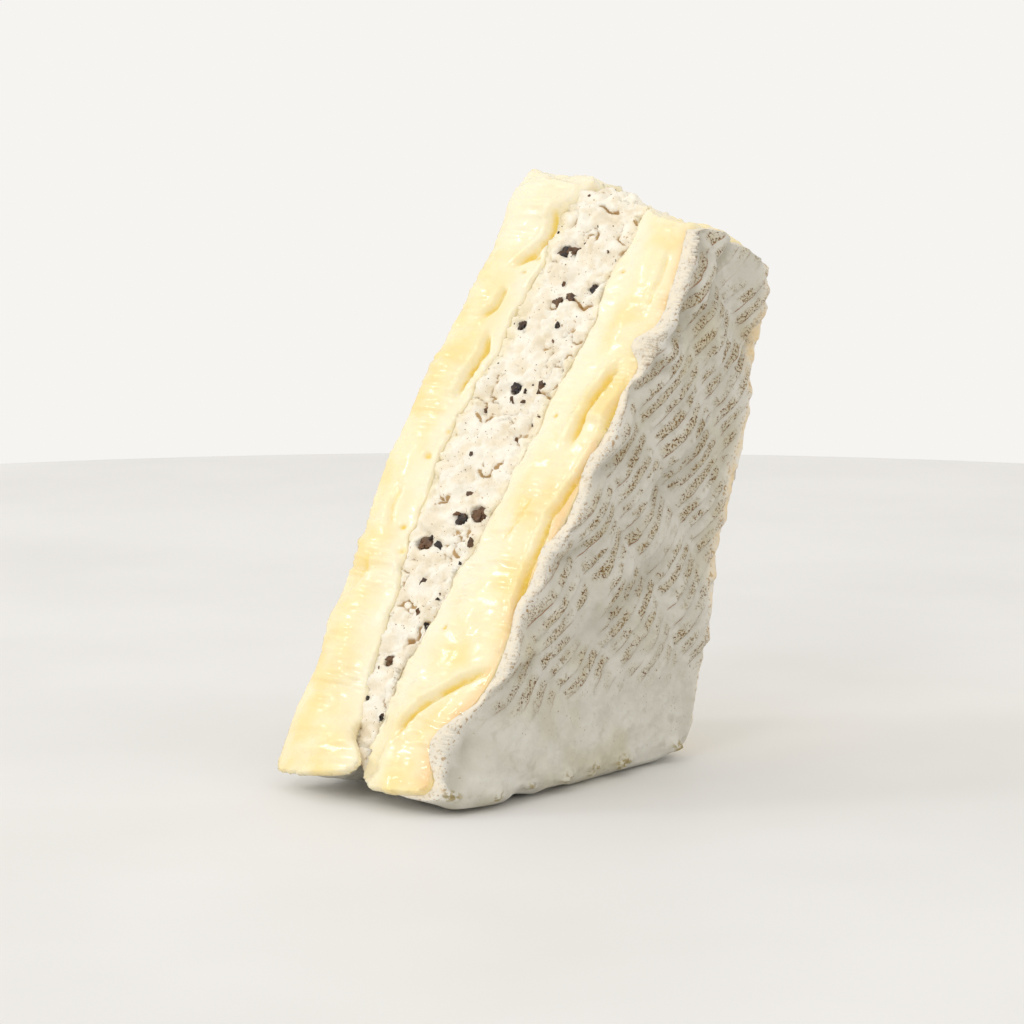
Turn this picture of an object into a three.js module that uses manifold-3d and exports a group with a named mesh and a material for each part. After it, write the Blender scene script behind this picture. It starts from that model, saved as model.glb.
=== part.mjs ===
// A wedge of soft-ripened cheese standing on its rim. The wheel was split through its
// thickness and filled with truffle cream, so two rinded halves hold a crumbly layer.
// Millimetres. +Z is up, +X runs across the layers and +Y from the near cut to the far cut.
// The origin lies under the middle of the wedge, on the surface that it stands on.

import * as THREE from 'three';
import { mergeVertices } from 'three/addons/utils/BufferGeometryUtils.js';
import Module from 'manifold-3d';

const wasm = await Module();
wasm.setup();

// Overall size of the wedge
const HEIGHT = 91; // foot to the middle of the nose, at the near cut
const FOOT_DEPTH = 60; // near cut to far cut along the foot
const FOOT_THICKNESS = 37; // across both halves at the foot
const NOSE_THICKNESS = 42.5; // across both halves at the nose
const SIDE_BELLY = 0.8; // each rind face swells out at mid height
const SHOULDER = 1.3; // each rind face turns in towards the broken nose
const SHOULDER_HEIGHT = 18; // over this much of the height

// Cuts: each leans back from the vertical, and the two meet past the missing tip
const NEAR_LEAN = THREE.MathUtils.degToRad(33.5);
const FAR_LEAN = THREE.MathUtils.degToRad(11);
const FAR_BELLY = 1.4; // the far cut sags outward at mid height
const NOSE_DROP = 5.5; // the nose falls from the near cut to the far cut
const NOSE_TILT = 9; // the left half stands higher than the right half
const CUT_BULGE = 1.1; // soft paste swells out of the cuts
const CUT_WAVE = 0.5; // knife ripples in the cuts

// Layers
const RIND = 1.4;
const GAP = 0.3;
const RIM_RADIUS = 4.5; // outer corner of the rim
const LIP_RADIUS = 5.5; // corner where each half turns up into the seam
const LIP_TAPER = 5; // height over which the paste comes back out above the lip
const FILLING_NOSE = 15.6; // thickness of the filling at the nose
const FILLING_FOOT = 1.8; // thickness of the filling at the foot
const FILLING_TAPER = 52; // height over which the filling reaches its full thickness
const FILLING_START = 6.5; // height of the notch below the filling

// Slump of the standing wedge
const SEAM_SHIFT_FOOT = -4.6; // middle of the filling, off the middle of the wedge
const SEAM_SHIFT_NOSE = -0.4;
const SIDE_BOW = 1.5; // the whole wedge bows to the left at mid height
const SIDE_SLIP = 2; // how far the foot stands to the left of the nose
const SIDE_SLIP_FROM = 42; // heights between which the wedge leans across
const SIDE_SLIP_TO = 70;
const FOLD_DEPTH = 0.6; // shallow waves of the rind faces
const HEEL_LIFT = 1.2; // the far end of the rim rises off the surface
const HEEL_LENGTH = 0.1; // share of the depth that rises at the far end
const TOE_LIFT = 2.2; // the near end rises a little too
const TOE_LENGTH = 0.13;

// Faceting of the layers
const DEPTH_STEPS = 10;
const HEIGHT_STEPS = 20;
const PASTE_STEPS = 4;
const FILLING_STEPS = 6;
const CORNER_STEPS = 4;
const FOOT_STEPS = 2;

// Truffle pieces in the open surfaces of the filling. Each has its size across, where it
// sits across the filling (-1 left edge, 1 right edge) and up the wedge (0 foot, 1 nose),
// and a turn about the cut that sets its outline.
const NEAR_TRUFFLES = [
  { size: 3.4, across: 0.68, up: 0.456, turn: 0.4 },
  { size: 2.3, across: 0.3, up: 0.447, turn: 1.9 },
  { size: 3.2, across: -0.52, up: 0.397, turn: 2.7 },
  { size: 2.8, across: -0.55, up: 0.9, turn: 5.1 },
  { size: 2.3, across: 0.72, up: 0.84, turn: 0.9 },
  { size: 2.0, across: -0.12, up: 0.82, turn: 3.3 },
  { size: 2.4, across: -0.04, up: 0.668, turn: 4.2 },
  { size: 1.9, across: -0.78, up: 0.765, turn: 1.1 },
  { size: 2.1, across: -0.15, up: 0.207, turn: 2.2 },
];
const FAR_TRUFFLES = [
  { size: 3.1, across: -0.3, up: 0.82, turn: 1.4 },
  { size: 2.4, across: 0.5, up: 0.7, turn: 3.9 },
  { size: 3.3, across: 0.05, up: 0.52, turn: 0.2 },
  { size: 2.2, across: -0.35, up: 0.36, turn: 5.6 },
];
const TRUFFLE_SINK = 0.2; // share of its size by which a piece's middle lies below the cut

const rindWhite = { color: 0xd9d6cc, roughness: 0.9, metalness: 0 };
const pasteCream = { color: 0xfbe9ac, roughness: 0.32, metalness: 0 };
const fillingWhite = { color: 0xf3eddd, roughness: 0.75, metalness: 0 };
const truffleBlack = { color: 0x2e241d, roughness: 0.6, metalness: 0 };
const truffleBrown = { color: 0x6b4a33, roughness: 0.65, metalness: 0 };

const { lerp, smoothstep } = THREE.MathUtils;

// --- The section across the layers, before the wedge leans and slumps ---

// Half of the wedge's thickness at a height.
function outerHalf(z) {
  const straight = lerp(FOOT_THICKNESS, NOSE_THICKNESS, smoothstep(z, 0, HEIGHT)) / 2;
  const belly = SIDE_BELLY * Math.sin((Math.PI * z) / HEIGHT);
  return straight + belly - SHOULDER * smoothstep(z, HEIGHT - SHOULDER_HEIGHT, HEIGHT);
}

// The filling's edge at a height, on the left (-1) or the right (1).
function fillingEdge(side, z) {
  const middle = lerp(SEAM_SHIFT_FOOT, SEAM_SHIFT_NOSE, z / HEIGHT);
  const half = lerp(FILLING_FOOT, FILLING_NOSE, smoothstep(z, 0, FILLING_TAPER)) / 2;
  return middle + side * half;
}

// A quarter round in a half's outline: how far the outline is set back at a height,
// for a corner of the given radius whose material starts at the given depth.
function cornerSetback(z, radius, depth) {
  const drop = Math.max(radius - z, 0);
  const reach = radius - depth;
  return radius - Math.sqrt(Math.max(reach * reach - drop * drop, 0));
}

// Corner of the seam at the foot, where the rind of a half ends.
function lipX(side) {
  return fillingEdge(side, LIP_RADIUS) + side * GAP;
}

// --- The warp that every layer shares, so that none can cross another ---

// Soft swelling of the two paste layers, nothing at the filling or the rind.
function pasteSwell(x, z) {
  const side = x < fillingEdge(0, z) ? -1 : 1;
  const inner = fillingEdge(side, z);
  const outer = side * outerHalf(z);
  const t = THREE.MathUtils.clamp((x - inner) / (outer - inner), 0, 1);
  return CUT_BULGE * Math.sin(Math.PI * t) ** 2;
}

function cutRipple(x, z, phase) {
  const long = Math.sin(z / 9.5 + x / 14 + phase);
  const short = Math.sin(z / 4.1 - x / 6.5 + 2 * phase);
  return CUT_WAVE * (0.7 * long + 0.3 * short);
}

// The nose was broken off, so its height is uneven.
function noseHeight(x, v) {
  const across = x / NOSE_THICKNESS;
  const ragged = 0.7 * Math.sin(x / 3.4 + 5 * v) + 0.5 * Math.sin(x / 1.9 - 11 * v);
  return HEIGHT - NOSE_TILT * across - NOSE_DROP * v + ragged;
}

function footLift(v) {
  const heel = Math.max(v - 1 + HEEL_LENGTH, 0) / HEEL_LENGTH;
  const toe = Math.max(TOE_LENGTH - v, 0) / TOE_LENGTH;
  return HEEL_LIFT * heel * heel + TOE_LIFT * toe * toe;
}

// Shallow folds that run slantwise down the rind faces, nothing at the filling.
function rindFold(x, v, z) {
  const share = Math.abs(x) / outerHalf(z);
  const fold = Math.sin(z / 6.4 + v * 5 + Math.sign(x)) + 0.5 * Math.sin(z / 3.1 - v * 7);
  return Math.sign(x) * FOLD_DEPTH * fold * share ** 3 * smoothstep(z, 4, 20);
}

// Takes a point of the upright block to the leaning, slumped wedge. x and z are in
// millimetres and v is the share of the way from the near cut to the far cut.
function slump(x, v, z) {
  const up = z / HEIGHT;
  const rise = lerp(HEIGHT, noseHeight(x, v), up) * up;
  const height = rise + footLift(v) * (1 - up) ** 2;
  const near = height * Math.tan(NEAR_LEAN) - pasteSwell(x, z) + cutRipple(x, z, 0);
  const sag = FAR_BELLY * Math.sin(Math.PI * up) + pasteSwell(x, z) + cutRipple(x, z, 2);
  const far = FOOT_DEPTH + height * Math.tan(FAR_LEAN) + sag;
  const slip = SIDE_SLIP * (smoothstep(height, SIDE_SLIP_FROM, SIDE_SLIP_TO) - 1);
  const bow = SIDE_BOW * Math.sin(Math.PI * up);
  return new THREE.Vector3(x + slip - bow + rindFold(x, v, z), lerp(near, far, v), height);
}

// --- Building solids ---

// A block of the given steps whose points are placed by shape(a, b, c), each from 0 to 1.
function shapedBlock(stepsA, stepsB, stepsC, shape) {
  const block = new THREE.BoxGeometry(1, 1, 1, stepsA, stepsB, stepsC);
  block.deleteAttribute('normal');
  block.deleteAttribute('uv');
  const geometry = mergeVertices(block);
  const at = geometry.getAttribute('position');
  for (let i = 0; i < at.count; i += 1) {
    const p = shape(at.getX(i) + 0.5, at.getY(i) + 0.5, at.getZ(i) + 0.5);
    at.setXYZ(i, p.x, p.y, p.z);
  }
  return geometry;
}

// Swaps every triangle's turn, for a block that its shape turned inside out.
function turnedOut(geometry) {
  const index = geometry.getIndex();
  for (let i = 0; i < index.count; i += 3) {
    const first = index.getX(i);
    index.setX(i, index.getX(i + 1));
    index.setX(i + 1, first);
  }
  return geometry;
}

// The rind of one half: a skin down the face, round the rim, along the foot and up the lip.
function rindGeometry(side) {
  const rimX = outerHalf(RIM_RADIUS) - RIM_RADIUS;
  const footX = side * lipX(side) + LIP_RADIUS;
  const steps = HEIGHT_STEPS + FOOT_STEPS + 2 * CORNER_STEPS;

  function skin(s, depth) {
    const step = s * steps;
    if (step <= HEIGHT_STEPS) {
      const z = lerp(HEIGHT, RIM_RADIUS, step / HEIGHT_STEPS);
      return [outerHalf(z) - depth, z];
    }
    const past = step - HEIGHT_STEPS;
    if (past <= CORNER_STEPS) {
      const angle = (past / CORNER_STEPS) * (Math.PI / 2);
      const reach = RIM_RADIUS - depth;
      return [rimX + reach * Math.cos(angle), RIM_RADIUS - reach * Math.sin(angle)];
    }
    if (past <= CORNER_STEPS + FOOT_STEPS) {
      return [lerp(rimX, footX, (past - CORNER_STEPS) / FOOT_STEPS), depth];
    }
    const angle = ((past - CORNER_STEPS - FOOT_STEPS) / CORNER_STEPS) * (Math.PI / 2);
    const reach = LIP_RADIUS - depth;
    return [footX - reach * Math.sin(angle), LIP_RADIUS - reach * Math.cos(angle)];
  }

  const geometry = shapedBlock(steps, DEPTH_STEPS, 1, (s, v, t) => {
    const [x, z] = skin(s, RIND * t);
    return slump(side * x, v, z);
  });
  return side > 0 ? turnedOut(geometry) : geometry;
}

// The paste of one half: everything between its rind and the filling.
function pasteGeometry(side) {
  const depth = RIND + GAP;
  const geometry = shapedBlock(PASTE_STEPS, DEPTH_STEPS, HEIGHT_STEPS, (u, v, w) => {
    const z = lerp(depth, HEIGHT, w ** 1.5);
    const rim = outerHalf(Math.max(z, RIM_RADIUS)) - cornerSetback(z, RIM_RADIUS, depth);
    const seam = side * (fillingEdge(side, Math.max(z, LIP_RADIUS)) + side * GAP);
    const lipTop = LIP_RADIUS + GAP;
    const turned = cornerSetback(z, LIP_RADIUS, depth);
    const lip = seam + turned * (1 - smoothstep(z, lipTop, lipTop + LIP_TAPER));
    return slump(side * lerp(lip, rim, u), v, z);
  });
  return side > 0 ? geometry : turnedOut(geometry);
}

// The filling, from the notch at the foot to the nose.
function fillingGeometry() {
  return shapedBlock(FILLING_STEPS, DEPTH_STEPS, HEIGHT_STEPS, (u, v, w) => {
    const z = lerp(FILLING_START, HEIGHT, w);
    return slump(lerp(fillingEdge(-1, z), fillingEdge(1, z), u), v, z);
  });
}

// An uneven lump about as far across as its size, swollen all round by the margin.
function lumpGeometry(size, turn, margin) {
  const ball = new THREE.IcosahedronGeometry(1, 1);
  ball.deleteAttribute('normal');
  ball.deleteAttribute('uv');
  const geometry = mergeVertices(ball);
  const at = geometry.getAttribute('position');
  const p = new THREE.Vector3();
  for (let i = 0; i < at.count; i += 1) {
    p.fromBufferAttribute(at, i);
    const uneven = 1 + 0.14 * Math.sin(4 * p.x + 3 * p.z + 5 * turn) + 0.1 * Math.sin(7 * p.y + turn);
    p.multiplyScalar((size / 2) * uneven + margin);
    at.setXYZ(i, p.x, 0.8 * p.y, 0.85 * p.z);
  }
  return geometry.rotateY(turn);
}

// --- Joining and cutting ---

function toManifold(geometry) {
  const vertProperties = new Float32Array(geometry.getAttribute('position').array);
  const triVerts = new Uint32Array(geometry.getIndex().array);
  return new wasm.Manifold(new wasm.Mesh({ numProp: 3, vertProperties, triVerts }));
}

function toGeometry(solid) {
  const mesh = solid.getMesh();
  const geometry = new THREE.BufferGeometry();
  geometry.setAttribute('position', new THREE.BufferAttribute(mesh.vertProperties, 3));
  geometry.setIndex(new THREE.BufferAttribute(mesh.triVerts, 1));
  return geometry;
}

// --- The truffle pieces and their seats in the filling ---

// The middle of a piece: on the filling's cut (v = 0 near, v = 1 far), sunk a little.
function trufflePlace(piece, v) {
  const z = piece.up * HEIGHT;
  const half = (fillingEdge(1, z) - fillingEdge(-1, z)) / 2;
  const place = slump(fillingEdge(0, z) + piece.across * half, v, z);
  place.y += (v === 0 ? 1 : -1) * TRUFFLE_SINK * piece.size;
  return place;
}

const truffles = [];
for (const [pieces, v] of [[NEAR_TRUFFLES, 0], [FAR_TRUFFLES, 1]]) {
  for (const piece of pieces) {
    truffles.push({ ...piece, place: trufflePlace(piece, v) });
  }
}

function seatedFilling() {
  let filling = toManifold(fillingGeometry());
  for (const { size, turn, place } of truffles) {
    const seat = lumpGeometry(size, turn, GAP).translate(place.x, place.y, place.z);
    filling = filling.subtract(toManifold(seat));
  }
  return toGeometry(filling);
}

// --- The wedge ---

const wedge = new THREE.Group();
wedge.name = 'truffle_brie_wedge';

function addPiece(name, geometry, look) {
  const mesh = new THREE.Mesh(geometry, new THREE.MeshStandardMaterial(look));
  mesh.name = name;
  mesh.geometry.computeVertexNormals();
  wedge.add(mesh);
  return mesh;
}

addPiece('rind_left', rindGeometry(-1), rindWhite);
addPiece('paste_left', pasteGeometry(-1), pasteCream);
addPiece('truffle_filling', seatedFilling(), fillingWhite);
addPiece('paste_right', pasteGeometry(1), pasteCream);
addPiece('rind_right', rindGeometry(1), rindWhite);

truffles.forEach(({ size, turn, place }, i) => {
  const look = i % 3 === 0 ? truffleBrown : truffleBlack;
  const mesh = addPiece(`truffle_piece_${i + 1}`, lumpGeometry(size, turn, 0), look);
  mesh.position.copy(place);
});

// The origin goes under the middle of the wedge.
const box = new THREE.Box3().setFromObject(wedge);
const middle = box.getCenter(new THREE.Vector3());
wedge.position.set(-middle.x, -middle.y, -box.min.z);

export default wedge;
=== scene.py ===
"""A wedge of soft-ripened cheese that stands on its rim: two rinded halves of soft paste round
a crumbly cream filling with chopped truffle. Lengths are in millimetres unless a name says
otherwise, and become metres where a mesh is written."""

import math

import bmesh
import bpy
import numpy as np
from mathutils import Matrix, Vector


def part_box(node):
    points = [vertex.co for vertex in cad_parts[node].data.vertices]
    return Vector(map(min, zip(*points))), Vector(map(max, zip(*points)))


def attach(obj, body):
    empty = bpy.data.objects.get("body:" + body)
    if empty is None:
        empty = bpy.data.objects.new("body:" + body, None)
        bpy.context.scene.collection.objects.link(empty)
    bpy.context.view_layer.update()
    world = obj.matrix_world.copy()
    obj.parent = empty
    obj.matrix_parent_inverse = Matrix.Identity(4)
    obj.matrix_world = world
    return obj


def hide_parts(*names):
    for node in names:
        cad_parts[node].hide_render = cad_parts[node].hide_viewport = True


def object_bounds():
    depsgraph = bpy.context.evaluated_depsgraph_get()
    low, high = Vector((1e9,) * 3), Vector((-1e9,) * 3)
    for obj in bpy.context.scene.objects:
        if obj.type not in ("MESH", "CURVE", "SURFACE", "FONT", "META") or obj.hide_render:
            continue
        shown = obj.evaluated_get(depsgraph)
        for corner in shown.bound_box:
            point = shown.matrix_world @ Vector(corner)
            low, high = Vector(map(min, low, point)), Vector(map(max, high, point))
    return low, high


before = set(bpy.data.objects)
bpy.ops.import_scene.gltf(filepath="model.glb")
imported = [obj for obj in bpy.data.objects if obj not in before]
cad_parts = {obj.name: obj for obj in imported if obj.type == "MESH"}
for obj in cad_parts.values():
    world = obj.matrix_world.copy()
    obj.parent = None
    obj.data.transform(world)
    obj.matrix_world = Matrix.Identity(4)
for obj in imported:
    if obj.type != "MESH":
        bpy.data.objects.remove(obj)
cad_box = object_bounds()

MM = 0.001
SEED = 41
ACROSS = (1, 0, 0)  # across the layers, from left to right
UP = (0, 0, 1)

# Face sizes of the fine meshes
RIND_VOXEL = 0.34
PASTE_VOXEL = 0.36
FILLING_VOXEL = 0.35

# The straw-mat marks pressed into the rind
REED_PITCH = 2.7
REED_SLOPE = math.radians(41.6)  # the marks rise towards the far cut
REED_SET = 13.0  # length of one set of marks
REED_DEPTH = 0.62
REED_BOW = 2.2  # each mark is a shallow arc
REED_STAGGER = 0.05  # neighbouring marks start and end unevenly, as a share of a set
RIM_SMOOTH = 17.0  # the rim below this height carries no marks
PILLOW = 0.9  # each set of marks swells a little

# How the layers close up and swell
GROW = 0.17  # closes the gap between the layers
LUMP = 0.45  # slow unevenness that all layers share
LUMP_SIZE = 13
ROOM = 0.026  # share of each side by which the fine meshes may pass the CAD box


# --- Random fields ---

RANDOM_TABLE = np.random.default_rng(SEED).random(4096)
EVEN = (1, 1, 1)  # noise that isn't stretched


def random_at(cell):
    mixed = (cell[:, 0] * 73856093) ^ (cell[:, 1] * 19349663) ^ (cell[:, 2] * 83492791)
    return RANDOM_TABLE[(mixed >> 5) & 4095]


def noise(points, size, seed=0):
    """Smooth random values from -1 to 1, with features of about the given size."""
    scaled = points / size + 31.7 * seed
    cell = np.floor(scaled).astype(np.int64)
    share = scaled - cell
    share = share * share * (3 - 2 * share)
    total = np.zeros(len(points))
    for corner in range(8):
        step = np.array([corner & 1, corner >> 1 & 1, corner >> 2 & 1])
        weight = np.prod(np.where(step == 1, share, 1 - share), axis=1)
        total += weight * random_at(cell + step)
    return 2 * total - 1


def layered(points, size, layers, seed=0):
    """Noise with ever finer layers, each half as strong as the one before."""
    total = np.zeros(len(points))
    for i in range(layers):
        total += noise(points, size / 2**i, seed + i) / 2**i
    return total


def relief(points, rows):
    """Sum of layered noise. Each row has a height, a stretch, a size, layers and a seed."""
    return sum(row[0] * layered(points * row[1], *row[2:]) for row in rows)


def kept_within(values, low, high, give):
    """Values that bend softly towards a limit on each side, starting within its give."""
    above = np.maximum(values - (high - give), 0)
    below = np.maximum((low + give) - values, 0)
    return values - above + give * np.tanh(above / give) + below - give * np.tanh(below / give)


def ramp(values, low, high):
    """0 up to low, 1 from high on and smooth between them. Low may be the greater."""
    t = np.clip((values - low) / (high - low), 0, 1)
    return t * t * (3 - 2 * t)


def bell(values, middle, width):
    """1 at the middle, falling smoothly to almost 0 at twice the width from it."""
    return np.exp(-(((values - middle) / width) ** 2))


# --- Where things lie in the wedge, measured from the frame ---


def vectors_of(mesh, name):
    flat = np.empty(len(mesh.vertices) * 3)
    mesh.vertices.foreach_get(name, flat)
    return flat.reshape(-1, 3)


def points_of(mesh):
    return vectors_of(mesh, "co") / MM


HEIGHT = cad_box[1].z / MM
LEVELS = np.arange(8.0, 0.94 * HEIGHT, 4.0)
LEVEL_REACH = 4.0


def profile(node, axis, pick):
    """The lowest or highest coordinate of a node at each of the levels."""
    at = points_of(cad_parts[node].data)
    return np.array([pick(at[abs(at[:, 2] - z) < LEVEL_REACH, axis]) for z in LEVELS])


FILLING_LEFT = profile("truffle_filling", 0, np.min)
FILLING_RIGHT = profile("truffle_filling", 0, np.max)
WEDGE_LEFT = profile("rind_left", 0, np.min)
WEDGE_RIGHT = profile("rind_right", 0, np.max)
NEAR_SLOPE, NEAR_START = np.polyfit(LEVELS, profile("truffle_filling", 1, np.min), 1)
FAR_SLOPE, FAR_START = np.polyfit(LEVELS, profile("truffle_filling", 1, np.max), 1)
NEAR_COS = 1 / math.hypot(1, NEAR_SLOPE)
FAR_COS = 1 / math.hypot(1, FAR_SLOPE)
NEAR_OUT = np.array([0, -NEAR_COS, NEAR_SLOPE * NEAR_COS])
FAR_OUT = np.array([0, FAR_COS, -FAR_SLOPE * FAR_COS])


def far_top():
    """The height of the right half's corner between the nose and the far cut."""
    at = points_of(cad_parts["rind_right"].data)
    inset = (FAR_START + FAR_SLOPE * at[:, 2] - at[:, 1]) * FAR_COS
    return at[inset < LEVEL_REACH, 2].max()


FAR_TOP = far_top()


def sides_at(z):
    """The x of the filling's sides and of the wedge's at a height."""
    sides = (FILLING_LEFT, FILLING_RIGHT, WEDGE_LEFT, WEDGE_RIGHT)
    return [np.interp(z, LEVELS, side) for side in sides]


def layer_share(x, z):
    """-2 at the left rind's face, -1 and 1 at the filling's edges, 2 at the right rind's."""
    left, right, low, high = sides_at(z)
    inside = -1 + 2 * (x - left) / (right - left)
    outside = np.where(x < left, -1 - (left - x) / (left - low), 1 + (x - right) / (high - right))
    return np.where((x < left) | (x > right), outside, inside)


def across(layer, z):
    """The x where a layer share lies at a height."""
    left, right, low, high = sides_at(z)
    if layer < -1:
        return left - (-1 - layer) * (left - low)
    if layer > 1:
        return right + (layer - 1) * (high - right)
    return left + (layer + 1) / 2 * (right - left)


def cut_point(layer, up):
    """Millimetres across and along the near cut, for a layer share and a height share."""
    z = up * HEIGHT
    return np.array([across(layer, z), z / NEAR_COS])


# --- Fine meshes ---

WELD_REACH = 0.005
EDGE_SOFTENING = (0.5, 4)  # the smoothing's strength and its passes
FACING_CUT = (0.45, 0.85)  # how squarely a point faces a cut, from not at all to fully
FACING_UP = (0.6, 0.9)
NOSE_FROM = (0.75, 0.8)  # height share where the broken nose starts
FLOOR_GAP = 0.02


def placed(name, data):
    """A new object in the scene."""
    made = bpy.data.objects.new(name, data)
    bpy.context.scene.collection.objects.link(made)
    return made


def dense_mesh(node, voxel):
    """A fine, even mesh of a node, with its sharp edges softened."""
    source = placed("dense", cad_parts[node].data.copy())
    weld = source.modifiers.new("weld", "WELD")
    weld.merge_threshold = WELD_REACH * MM
    remesh = source.modifiers.new("remesh", "REMESH")
    remesh.mode = "VOXEL"
    remesh.voxel_size = voxel * MM
    smooth = source.modifiers.new("smooth", "SMOOTH")
    smooth.factor, smooth.iterations = EDGE_SOFTENING
    evaluated = source.evaluated_get(bpy.context.evaluated_depsgraph_get())
    mesh = bpy.data.meshes.new_from_object(evaluated)
    bpy.data.objects.remove(source)
    return mesh


class Skin:
    """The fine mesh of one piece: where each point lies, what it faces and how it moves."""

    def __init__(self, node, name, voxel):
        self.node = node
        self.mesh = dense_mesh(node, voxel)
        self.mesh.name = name
        self.at = points_of(self.mesh)
        self.out = vectors_of(self.mesh, "normal")
        x, y, z = self.at.T
        self.z, self.up = z, z / HEIGHT
        self.layer = layer_share(x, z)
        self.inset = (y - NEAR_START - NEAR_SLOPE * z) * NEAR_COS
        self.far_inset = (FAR_START + FAR_SLOPE * z - y) * FAR_COS
        self.near = ramp(self.out @ NEAR_OUT, *FACING_CUT)
        self.far = ramp(self.out @ FAR_OUT, *FACING_CUT)
        self.top = ramp(self.out[:, 2], *FACING_UP) * ramp(self.up, *NOSE_FROM)
        self.on_cut = np.column_stack([x, z / NEAR_COS])
        self.move = np.zeros_like(self.at)
        self.move += shared_lump(self.at) + slump(self)

    def push(self, amount, direction=None):
        """Moves every point by an amount, outwards or in one direction."""
        way = self.out if direction is None else np.asarray(direction)
        self.move += np.asarray(amount)[..., None] * way

    def paint(self, name, values):
        """Stores values at the points, where a material reads them by name."""
        layer = self.mesh.attributes.new(name, "FLOAT", "POINT")
        layer.data.foreach_set("value", np.clip(values, -1e4, 1e4).astype(np.float32))

    def finish(self, material, slot):
        """Writes the moved points and hands the piece to the frame."""
        moved = self.at + self.move
        moved[:, 2] = np.maximum(moved[:, 2], FLOOR_GAP)
        for axis in (0, 1):
            low, high = cad_box[0][axis] / MM, cad_box[1][axis] / MM
            room = ROOM * (high - low)
            moved[:, axis] = kept_within(moved[:, axis], low - room, high + room, room)
        self.mesh.vertices.foreach_set("co", (moved * MM).ravel())
        self.mesh.shade_smooth()
        self.mesh.update()
        piece = placed(self.mesh.name, self.mesh)
        return hand_over(piece, material, slot, self.node)


# How the soft wedge has given way. A span runs from where an effect starts to where it is
# full: layer shares, height shares ("up"), or millimetres of inset or height ("z"). A pair
# that bell reads is a middle and a reach.
CORNER_TURN = 6.5  # the right half's foot corner turns in
CORNER_LAYERS = (1.15, 2.0)
CORNER_INSET = 5.5
CORNER_UP = (0.09, 0.07)
TOE_RISE = (2.6, 1.5, 0.8)  # how far the near foot has lifted, at these layers
TOE_LAYERS = (-1, 1, 2)
TOE_INSET = (16, 0)
TOE_Z = (13, 1)
NOSE_SWELL = 1.4  # the left half is a little fuller at the nose
SWELL_UP = (0.94, 0.06)
SWELL_LAYERS = (-1.0, -1.6)
SWELL_INSET = (12, 3)
NOSE_DIP = 1.2  # the left half's outer top corner hangs
DIP_UP = (0.94, 1.0)
DIP_LAYERS = (-1.5, -2.1)
NOSE_WORN = 0.7  # the broken nose is worn along the near cut
NOSE_WORN_INSET = 1.2
CORNER_ROUND = 0.4  # the right half's far top corner is rounded off
ROUND_REACH = 3
ROUND_LAYERS = (0.8, 1.4)
SEAM_WANDER = 1.1  # the filling's edges are uneven, and the paste follows them
SEAM_BUMPS = 3.6  # size of that unevenness
SEAM_WIDTH = 0.22


def slump(skin):
    """The moves that every layer makes alike."""
    z = skin.z
    turn = -CORNER_TURN * ramp(skin.layer, *CORNER_LAYERS) * bell(skin.inset, 0, CORNER_INSET)
    turn *= bell(skin.up, *CORNER_UP)
    fuller = bell(skin.up, *SWELL_UP) * ramp(skin.layer, *SWELL_LAYERS)
    turn -= NOSE_SWELL * fuller * ramp(skin.inset, *SWELL_INSET)
    turn += SEAM_WANDER * bell(abs(skin.layer), 1, SEAM_WIDTH) * noise(skin.at, SEAM_BUMPS, 71)
    toe = ramp(skin.inset, *TOE_INSET) * ramp(z, *TOE_Z)
    rise = np.interp(skin.layer, TOE_LAYERS, TOE_RISE) * toe
    rise -= NOSE_DIP * ramp(skin.up, *DIP_UP) * ramp(skin.layer, *DIP_LAYERS)
    rise -= NOSE_WORN * skin.top * bell(skin.inset, 0, NOSE_WORN_INSET)
    corner = bell(skin.far_inset, 0, ROUND_REACH) * bell(z, FAR_TOP, ROUND_REACH)
    corner *= CORNER_ROUND * ramp(skin.layer, *ROUND_LAYERS)
    return np.column_stack([turn, -corner, rise - corner])


def shared_lump(points):
    """The slow unevenness that every layer follows."""
    side, back = LUMP * noise(points, LUMP_SIZE, 1), LUMP * noise(points, LUMP_SIZE, 2)
    return np.column_stack([side, back, np.zeros(len(points))])


def hand_over(piece, material, slot, *nodes):
    """Gives a piece its material and body, and hides the nodes it replaces. The slot is not used.
    """
    piece.data.materials.clear()
    piece.data.materials.append(material)
    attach(piece, "root")
    if nodes:
        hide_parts(*nodes)
    return piece


# --- Features placed on the near cut ---


def along_path(points, path):
    """How far each point lies from a line through the path's points, less than 0 to the right
    of it, and the share of the path's length where it comes nearest."""
    gap = np.full(len(points), np.inf)
    signed, share = np.zeros(len(points)), np.zeros(len(points))
    lengths = [np.linalg.norm(b - a) for a, b in zip(path, path[1:])]
    start = 0.0
    for a, b, length in zip(path, path[1:], lengths):
        run = (b - a) / length
        t = np.clip((points - a) @ run, 0, length)
        off = points - a - t[:, None] * run
        distance = np.linalg.norm(off, axis=1)
        nearer = distance < gap
        turn = np.sign(run[0] * off[:, 1] - run[1] * off[:, 0])
        gap = np.where(nearer, distance, gap)
        signed = np.where(nearer, turn * distance, signed)
        share = np.where(nearer, (start + t) / sum(lengths), share)
        start += length
    return signed, share


FOLD_STARTS = (-0.02, 0.25)  # share of a path's length over which its fold rises
FOLD_ENDS = (1.02, 0.75)
LIP_AWAY, LIP_WIDTH = 2.2, 1.5  # the lip's place and width, in widths of the groove


def fold(points, path, width, ragged=0.35):
    """A groove along a path and the soft lip on its left, each 1 at its middle. Both fade out
    towards the ends of the path, and wander from it by a share of the width."""
    side, share = along_path(points, path)
    fade = ramp(share, *FOLD_STARTS) * ramp(share, *FOLD_ENDS)
    side = side + ragged * width * layered(np.column_stack([points, points[:, 0]]), 2.5, 2, 61)
    groove = bell(side, 0, width) * fade
    lip = bell(side, LIP_AWAY * width, LIP_WIDTH * width) * fade
    return groove, lip


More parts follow.
